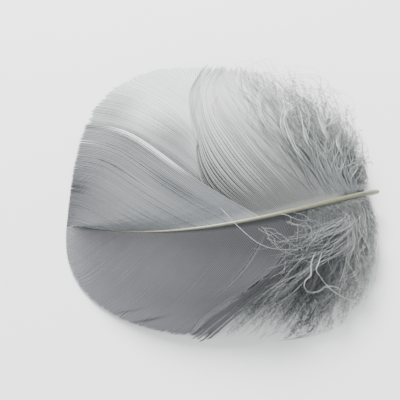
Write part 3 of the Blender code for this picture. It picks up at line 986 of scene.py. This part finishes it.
SHEAVES = (
    (((36.0, -3.0, 8.2), (32.7, -7.5, 9.9), (27.7, -10.2, 11.2), (23.0, -13.2, 12.0), (19.2, -15.0, 12.4),
      (15.1, -16.0, 12.8)), 9),
    (((35.5, -4.0, 8.0), (31.3, -10.1, 10.0), (26.0, -13.5, 11.0), (20.9, -15.8, 11.9),
      (17.4, -17.5, 12.2)), 8),
    (((16.0, -8.2, 14.8), (20.3, -9.7, 13.6), (23.3, -10.4, 12.8), (25.6, -12.3, 11.6),
      (27.8, -14.0, 10.5)), 5),
    (((13.5, -11.3, 14.2), (16.2, -12.9, 13.5), (19.7, -14.6, 12.6), (23.0, -15.3, 11.7)), 4),
    (((35.0, -6.0, 7.9), (32.3, -13.1, 9.0), (26.4, -17.0, 10.0), (21.3, -20.2, 10.3), (17.3, -23.5, 9.3),
      (13.4, -26.3, 7.6), (8.4, -28.7, 5.4)), 8),
    (((35.5, -5.0, 7.6), (34.2, -10.2, 8.8), (28.7, -15.0, 10.0), (22.9, -17.8, 10.9), (18.3, -21.0, 10.6),
      (13.4, -25.0, 8.9), (8.7, -28.8, 5.2)), 8),
)


def add_downs():
    far = down_finish("far_down_fluff", (0.22, 0.24, 0.24), (0.36, 0.385, 0.38), (0.36, 0.39, 0.39),
                      through=0.45, root=(0.25, 0.265, 0.275))
    pale = down_finish("far_pale_fluff", (0.30, 0.325, 0.32), (0.54, 0.57, 0.56), (0.46, 0.49, 0.48),
                       through=0.4, root=(0.25, 0.265, 0.27))
    # The near down's and near hair's dark greys paint them in the shade under the near side of the feather.
    near = down_finish("near_down_fluff", (0.04, 0.04, 0.045), (0.165, 0.17, 0.175), (0.13, 0.135, 0.14),
                       root=(0.22, 0.23, 0.24), painted_light_base_side=(0.42, 0.44, 0.43), tip=(0.20, 0.205, 0.21))
    hair = down_finish("near_hair_fluff", (0.08, 0.085, 0.09), (0.23, 0.24, 0.25), (0.18, 0.19, 0.19),
                       root=(0.21, 0.22, 0.225))
    wisp = down_finish("pale_wisp_fluff", (0.34, 0.36, 0.36), (0.62, 0.65, 0.64), (0.5, 0.52, 0.52))
    deep = lobe_paths("far_down", 205, 32, 21, span=(-0.05, 1.10), ends=(0.78, 1.08), sway=(1.5, 1.5, 1.2),
                      curls=1.0, lift=-1.4)
    downy("far_down_bed", deep, far, "far_fluff", "far_down", 31, radius=0.05, each=150, length=1.6,
          thickness=0.032)
    tangle = np.concatenate([
        lobe_paths("far_down", 84, 60, 22, ends=(0.90, 1.12), sway=(3.2, 3.2, 0.8), curls=2.6, lift=0.3),
        lobe_paths("far_base", 64, 60, 23, span=(-0.20, 0.40), ends=(0.85, 1.04), sway=(2.2, 2.2, 0.4),
                   curls=1.6, lift=0.55),
    ])
    downy("far_down_tangle", tangle, pale, "far_fluff", None, 35, radius=0.10, each=165, length=0.5,
          thickness=0.022, rake=(20, 60))
    under = np.concatenate([
        lobe_paths("near_down", 110, 32, 24, span=(-0.06, 1.03), ends=(0.75, 1.16), sway=(1.6, 1.6, 1.1),
                   curls=0.8, lift=-1.2),
        lobe_paths("near_loose", 70, 32, 25, span=(0.0, 1.15), ends=(0.7, 0.95), sway=(0.9, 0.9, 0.5),
                   curls=0.3, lift=-1.5),
    ])
    downy("near_down_bed", under, near, "near_fluff", "near_down", 32, radius=0.05, each=160, length=2.0,
          thickness=0.035)
    top = lobe_paths("near_down", 90, 44, 26, ends=(0.8, 1.22), sway=(2.8, 2.8, 0.9), curls=1.9, lift=0.2)
    downy("near_down_tangle", top, near, "near_fluff", None, 36, radius=0.05, each=150, length=0.9,
          thickness=0.018, rake=(20, 60))
    loose = np.concatenate([
        lobe_paths("near_loose", 190, 30, 27, span=(0.0, 0.82), ends=(0.72, 1.0), sway=(1.5, 1.5, 0.5),
                   curls=0.35, lift=0.2),
        lobe_paths("near_down", 40, 30, 28, span=(0.4, 1.0), ends=(0.75, 1.1), sway=(2.2, 2.2, 0.6),
                   curls=1.2, lift=0.4),
    ])
    downy("near_loose_hair", loose, hair, "near_strands", None, 37, radius=0.045, each=90, length=0.7,
          thickness=0.018, rake=(12, 35))
    sheaves = [sheaf(points, count * 3 // 2, (1.35, 1.35, 0.4), 40 + i)
               for i, (points, count) in enumerate(SHEAVES)]
    downy("near_down_wisps", np.concatenate(sheaves), wisp, "near_fluff", None, 33, radius=0.032, each=80,
          length=0.5, thickness=0.012, rake=(15, 50))
    bright = down_finish("bright_curl_fluff", (0.66, 0.69, 0.67), (0.88, 0.91, 0.88), (0.66, 0.68, 0.67))
    curls = [sheaf(points, 2, (0.10, 0.10, 0.08), 50 + i, cut=0.04) for i, points in enumerate(CURLED)]
    curls.append(sheaf(STRAY, 1, (0.05, 0.05, 0.05), 53, cut=0.02))
    downy("curled_strands", np.concatenate(curls), bright, "near_fluff", None, 34, radius=0.06, each=80,
          length=0.26, thickness=0.012, rake=(15, 45))
    rings = [sheaf(np.array(points) + FAR_CURL_RAISE, 4, (0.38, 0.38, 0.2), 60 + i, 48, 0.16)
             for i, points in enumerate(FAR_CURLS)]
    pale_curl = down_finish("pale_curl_fluff", (0.56, 0.59, 0.58), (0.82, 0.85, 0.83), (0.62, 0.64, 0.63))
    downy("far_curled_strands", np.concatenate(rings), pale_curl, "far_fluff", None, 38, radius=0.08,
          each=125, length=0.36, thickness=0.018, rake=(20, 60))


def add_webs():
    far_middle_web()
    far_tip_web()
    far_base_web()
    near_web()
    near_loose_webs()


# ---- camera, floor and light ----
VIEW_ELEVATION = 60.0
VIEW_ANGLE = 26.0
VIEW_WIDTH = 93.0
VIEW_TARGET = (0.0, 0.0, 6.0)
SENSOR_WIDTH = 36.0
FLOOR_HALF_SIZE = 1.5
ROOM_COLOUR = (0.95, 0.98, 1.0, 1)
ROOM_STRENGTH = 0.84


def look_at(thing, target):
    way = Vector(target) - thing.location
    thing.rotation_euler = way.to_track_quat("-Z", "Y").to_euler()


def add_camera():
    target = (np.array(VIEW_TARGET) + PLACE) * MM
    distance = VIEW_WIDTH / 2 / math.tan(math.radians(VIEW_ANGLE / 2)) * MM
    lens = bpy.data.cameras.new("camera")
    lens.sensor_width = SENSOR_WIDTH
    lens.lens = SENSOR_WIDTH / 2 / math.tan(math.radians(VIEW_ANGLE / 2))
    lens.clip_start = 0.005
    lens.clip_end = 20.0
    camera = bpy.data.objects.new("camera", lens)
    rise = math.radians(VIEW_ELEVATION)
    camera.location = Vector(target) + distance * Vector((0, -math.cos(rise), math.sin(rise)))
    look_at(camera, target)
    bpy.context.scene.collection.objects.link(camera)
    bpy.context.scene.camera = camera


def add_light(name, place, target, size, power, colour):
    lamp = bpy.data.lights.new(name, "AREA")
    lamp.shape = "DISK"
    lamp.size = size
    lamp.energy = power
    lamp.color = colour
    light = bpy.data.objects.new(name, lamp)
    light.location = place
    look_at(light, target)
    bpy.context.scene.collection.objects.link(light)


def add_floor():
    f = Finish("plain_floor")
    f.close(f.node("ShaderNodeBsdfPrincipled", None, {
        "Base Color": (0.88, 0.89, 0.88, 1), "Roughness": 0.9, "Specular IOR Level": 0.2,
    }))
    mesh = bpy.data.meshes.new("floor")
    half = FLOOR_HALF_SIZE
    corners = [(-half, -half, 0), (half, -half, 0), (half, half, 0), (-half, half, 0)]
    mesh.from_pydata(corners, [], [(0, 1, 2, 3)])
    mesh.materials.append(f.material)
    floor = bpy.data.objects.new("floor", mesh)
    bpy.context.scene.collection.objects.link(floor)


def add_stage():
    add_camera()
    add_floor()
    add_light("window_light", (-0.10, 0.48, 0.40), (0, 0, 0), 0.30, 15.0, (1.0, 0.99, 0.97))
    add_light("front_fill", (-0.15, -0.45, 0.40), (0, 0, 0), 0.5, 2.6, (0.96, 0.98, 1.0))
    world = bpy.data.worlds.new("soft_room")
    world.use_nodes = True
    background = world.node_tree.nodes["Background"]
    background.inputs["Color"].default_value = ROOM_COLOUR
    background.inputs["Strength"].default_value = ROOM_STRENGTH
    bpy.context.scene.world = world


add_stage()
add_quill()
add_webs()
add_downs()
